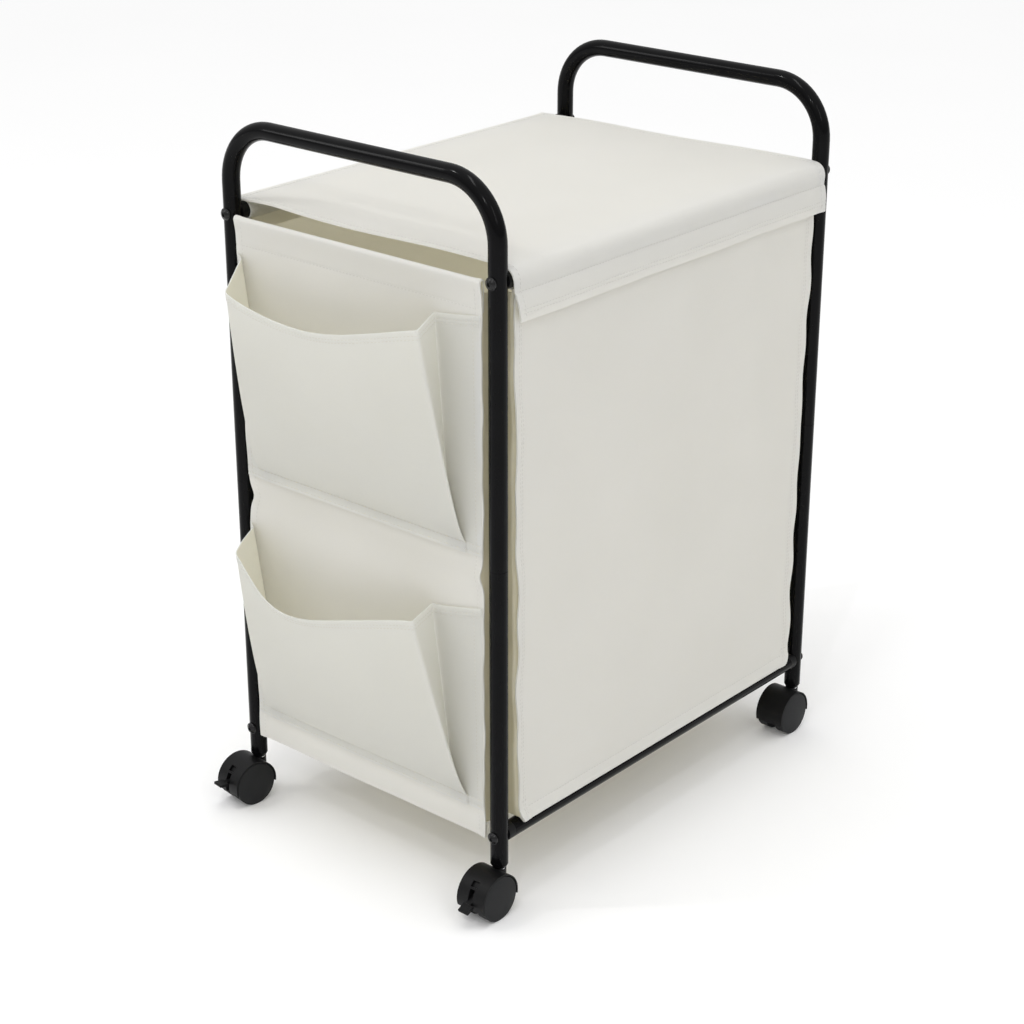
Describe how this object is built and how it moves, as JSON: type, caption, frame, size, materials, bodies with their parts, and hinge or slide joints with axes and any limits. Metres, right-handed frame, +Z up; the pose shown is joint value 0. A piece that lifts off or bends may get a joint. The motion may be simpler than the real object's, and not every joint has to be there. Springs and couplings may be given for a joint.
{
  "type": "laundry sorter on wheels",
  "caption": "Rolling laundry sorter: tube frame with two end handles, hanging fabric bag with lid, two end pockets and four swivel casters.",
  "frame": {"origin": "on the floor under the middle of the bounding box", "axes": "+X right side, +Y rear (the end without pockets), +Z up"},
  "size_m": [0.4078, 0.6119, 0.7905],
  "materials": {
    "powder_coat": "gloss black powder coat",
    "black_plastic": "moulded black plastic",
    "wheel_plastic": "moulded dark grey-black plastic",
    "screw_black": "black-finished steel",
    "zinc_steel": "zinc-plated steel",
    "ivory_fabric": "off-white woven polyester, stiff coated back",
    "hem_rod_steel": "plain steel rod",
    "board": "off-white polyethylene board"
  },
  "bodies": {
    "frame": {"hoop_front": "powder_coat", "hoop_rear": "powder_coat", "leg_front_left": "powder_coat", "caster_socket_front_left": "black_plastic", "caster_stem_front_left": "zinc_steel", "leg_front_right": "powder_coat", "caster_socket_front_right": "black_plastic", "caster_stem_front_right": "zinc_steel", "leg_rear_left": "powder_coat", "caster_socket_rear_left": "black_plastic", "caster_stem_rear_left": "zinc_steel", "leg_rear_right": "powder_coat", "caster_socket_rear_right": "black_plastic", "caster_stem_rear_right": "zinc_steel", "top_rail_left": "powder_coat", "top_rail_right": "powder_coat", "top_rail_plugs": "black_plastic", "top_screws": "screw_black", "top_washers": "screw_black", "bottom_rail_left": "powder_coat", "bottom_rail_right": "powder_coat", "bottom_rail_plugs": "black_plastic", "bottom_screws": "screw_black", "bottom_washers": "screw_black", "bag_side_left": "ivory_fabric", "bag_side_right": "ivory_fabric", "bag_end_front": "ivory_fabric", "bag_end_rear": "ivory_fabric", "hem_rod_front": "hem_rod_steel", "hem_rod_rear": "hem_rod_steel", "bag_floor": "ivory_fabric", "floor_board": "board", "pocket_upper": "ivory_fabric", "pocket_lower": "ivory_fabric"},
    "lid": {"lid_cover": "ivory_fabric", "lid_stiffener": "board"},
    "caster_front_left": {"caster_hood_front_left": "black_plastic", "caster_axle_front_left": "zinc_steel"},
    "wheel_front_left_outer": {"wheel_front_left_outer": "wheel_plastic"},
    "wheel_front_left_inner": {"wheel_front_left_inner": "wheel_plastic"},
    "brake_left": {"brake_lever_front_left": "black_plastic"},
    "caster_front_right": {"caster_hood_front_right": "black_plastic", "caster_axle_front_right": "zinc_steel"},
    "wheel_front_right_outer": {"wheel_front_right_outer": "wheel_plastic"},
    "wheel_front_right_inner": {"wheel_front_right_inner": "wheel_plastic"},
    "brake_right": {"brake_lever_front_right": "black_plastic"},
    "caster_rear_left": {"caster_hood_rear_left": "black_plastic", "caster_axle_rear_left": "zinc_steel"},
    "wheel_rear_left_outer": {"wheel_rear_left_outer": "wheel_plastic"},
    "wheel_rear_left_inner": {"wheel_rear_left_inner": "wheel_plastic"},
    "caster_rear_right": {"caster_hood_rear_right": "black_plastic", "caster_axle_rear_right": "zinc_steel"},
    "wheel_rear_right_outer": {"wheel_rear_right_outer": "wheel_plastic"},
    "wheel_rear_right_inner": {"wheel_rear_right_inner": "wheel_plastic"}
  },
  "joints": [
    {"name": "lid_hinge", "type": "hinge", "parent": "frame", "child": "lid", "pos_m": [-0.19113, 0.02355, 0.698], "axis": [0, -1, 0], "range_deg": [0, 260]},
    {"name": "caster_front_left_swivel", "type": "hinge", "parent": "frame", "child": "caster_front_left", "pos_m": [-0.17993, -0.24545, 0.04], "axis": [0, 0, 1], "continuous": true},
    {"name": "wheel_front_left_outer_roll", "type": "hinge", "parent": "caster_front_left", "child": "wheel_front_left_outer", "pos_m": [-0.18225, -0.26431, 0.025], "axis": [0.9925, -0.1219, 0], "continuous": true},
    {"name": "wheel_front_left_inner_roll", "type": "hinge", "parent": "caster_front_left", "child": "wheel_front_left_inner", "pos_m": [-0.18225, -0.26431, 0.025], "axis": [0.9925, -0.1219, 0], "continuous": true},
    {"name": "brake_lever_left_press", "type": "hinge", "parent": "caster_front_left", "child": "brake_left", "pos_m": [-0.18448, -0.28252, 0.02992], "axis": [-0.9925, 0.1219, 0], "range_deg": [-32, 0]},
    {"name": "caster_front_right_swivel", "type": "hinge", "parent": "frame", "child": "caster_front_right", "pos_m": [0.18407, -0.24545, 0.04], "axis": [0, 0, 1], "continuous": true},
    {"name": "wheel_front_right_outer_roll", "type": "hinge", "parent": "caster_front_right", "child": "wheel_front_right_outer", "pos_m": [0.18407, -0.26445, 0.025], "axis": [1, 0, 0], "continuous": true},
    {"name": "wheel_front_right_inner_roll", "type": "hinge", "parent": "caster_front_right", "child": "wheel_front_right_inner", "pos_m": [0.18407, -0.26445, 0.025], "axis": [1, 0, 0], "continuous": true},
    {"name": "brake_lever_right_press", "type": "hinge", "parent": "caster_front_right", "child": "brake_right", "pos_m": [0.18407, -0.2828, 0.02992], "axis": [-1, 0, 0], "range_deg": [0, 32]},
    {"name": "caster_rear_left_swivel", "type": "hinge", "parent": "frame", "child": "caster_rear_left", "pos_m": [-0.17993, 0.29255, 0.04], "axis": [0, 0, 1], "continuous": true},
    {"name": "wheel_rear_left_outer_roll", "type": "hinge", "parent": "caster_rear_left", "child": "wheel_rear_left_outer", "pos_m": [-0.17993, 0.27355, 0.025], "axis": [1, 0, 0], "continuous": true},
    {"name": "wheel_rear_left_inner_roll", "type": "hinge", "parent": "caster_rear_left", "child": "wheel_rear_left_inner", "pos_m": [-0.17993, 0.27355, 0.025], "axis": [1, 0, 0], "continuous": true},
    {"name": "caster_rear_right_swivel", "type": "hinge", "parent": "frame", "child": "caster_rear_right", "pos_m": [0.18407, 0.29255, 0.04], "axis": [0, 0, 1], "continuous": true},
    {"name": "wheel_rear_right_outer_roll", "type": "hinge", "parent": "caster_rear_right", "child": "wheel_rear_right_outer", "pos_m": [0.18407, 0.27355, 0.025], "axis": [1, 0, 0], "continuous": true},
    {"name": "wheel_rear_right_inner_roll", "type": "hinge", "parent": "caster_rear_right", "child": "wheel_rear_right_inner", "pos_m": [0.18407, 0.27355, 0.025], "axis": [1, 0, 0], "continuous": true}
  ]
}
